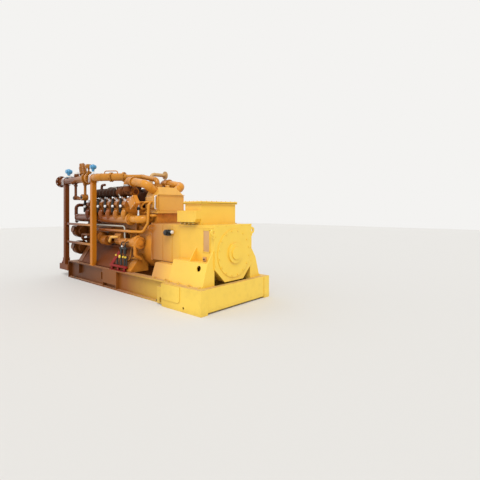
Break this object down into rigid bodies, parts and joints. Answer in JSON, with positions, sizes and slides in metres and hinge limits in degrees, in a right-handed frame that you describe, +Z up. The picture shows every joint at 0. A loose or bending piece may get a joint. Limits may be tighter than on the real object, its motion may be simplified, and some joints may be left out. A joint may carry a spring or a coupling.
{
  "type": "gas engine generator set",
  "caption": "Skid-mounted vee gas engine driving a generator, with charge cooler, intake and charge pipes, and a gas supply pipe carried on posts at one side.",
  "frame": {"origin": "on the floor under the middle of the skid's low cross-member, on the centreline", "axes": "+X along the skid towards the generator end, +Y away from the gas pipe's side, +Z up"},
  "size_m": [5.4, 1.778, 2.7325],
  "materials": {
    "skid_paint": "gloss yellow enamel on welded steel",
    "generator_paint": "gloss yellow enamel on sheet steel",
    "engine_paint": "oily ochre enamel on cast iron",
    "pipe_paint": "glossy ochre enamel on steel pipe",
    "exhaust_iron": "heat-browned cast iron",
    "coolant_pipe_paint": "pale tan paint on steel pipe",
    "transmitter_blue": "blue enamel on cast aluminium"
  },
  "bodies": {
    "root": {"rail_near": "skid_paint", "rail_far": "skid_paint", "sill_near": "skid_paint", "sill_far": "skid_paint", "rear_end_beam": "skid_paint", "transition_beam": "skid_paint", "low_cross_member": "skid_paint", "front_cross_member": "skid_paint", "generator_end_plate": "generator_paint", "generator_end_cover": "generator_paint", "exciter_housing": "generator_paint", "stator_frame": "generator_paint", "adapter_plate": "generator_paint", "pedestal_near": "generator_paint", "pedestal_far": "generator_paint", "terminal_box": "generator_paint", "terminal_box_lid": "generator_paint", "cable_entry_box": "generator_paint", "flywheel_housing": "engine_paint", "crankcase": "engine_paint", "engine_base": "engine_paint", "gear_housing": "engine_paint", "side_castings": "engine_paint", "cylinder_heads_near": "engine_paint", "cylinder_heads_far": "engine_paint", "valve_covers_near": "engine_paint", "valve_covers_far": "engine_paint", "intake_manifold_near": "pipe_paint", "intake_manifold_far": "pipe_paint", "balance_pipe": "pipe_paint", "exhaust_manifold": "exhaust_iron", "turbocharger_near": "exhaust_iron", "turbocharger_far": "exhaust_iron", "charge_pipe_near": "pipe_paint", "charge_pipe_far": "pipe_paint", "charge_cooler": "engine_paint", "junction_box": "engine_paint", "water_outlet": "coolant_pipe_paint", "gas_pipe": "pipe_paint", "gas_regulator": "pipe_paint", "gas_bypass": "pipe_paint", "gas_instruments": "transmitter_blue", "post_rear": "skid_paint", "post_front": "skid_paint", "post_rungs": "pipe_paint"}
  },
  "joints": []
}
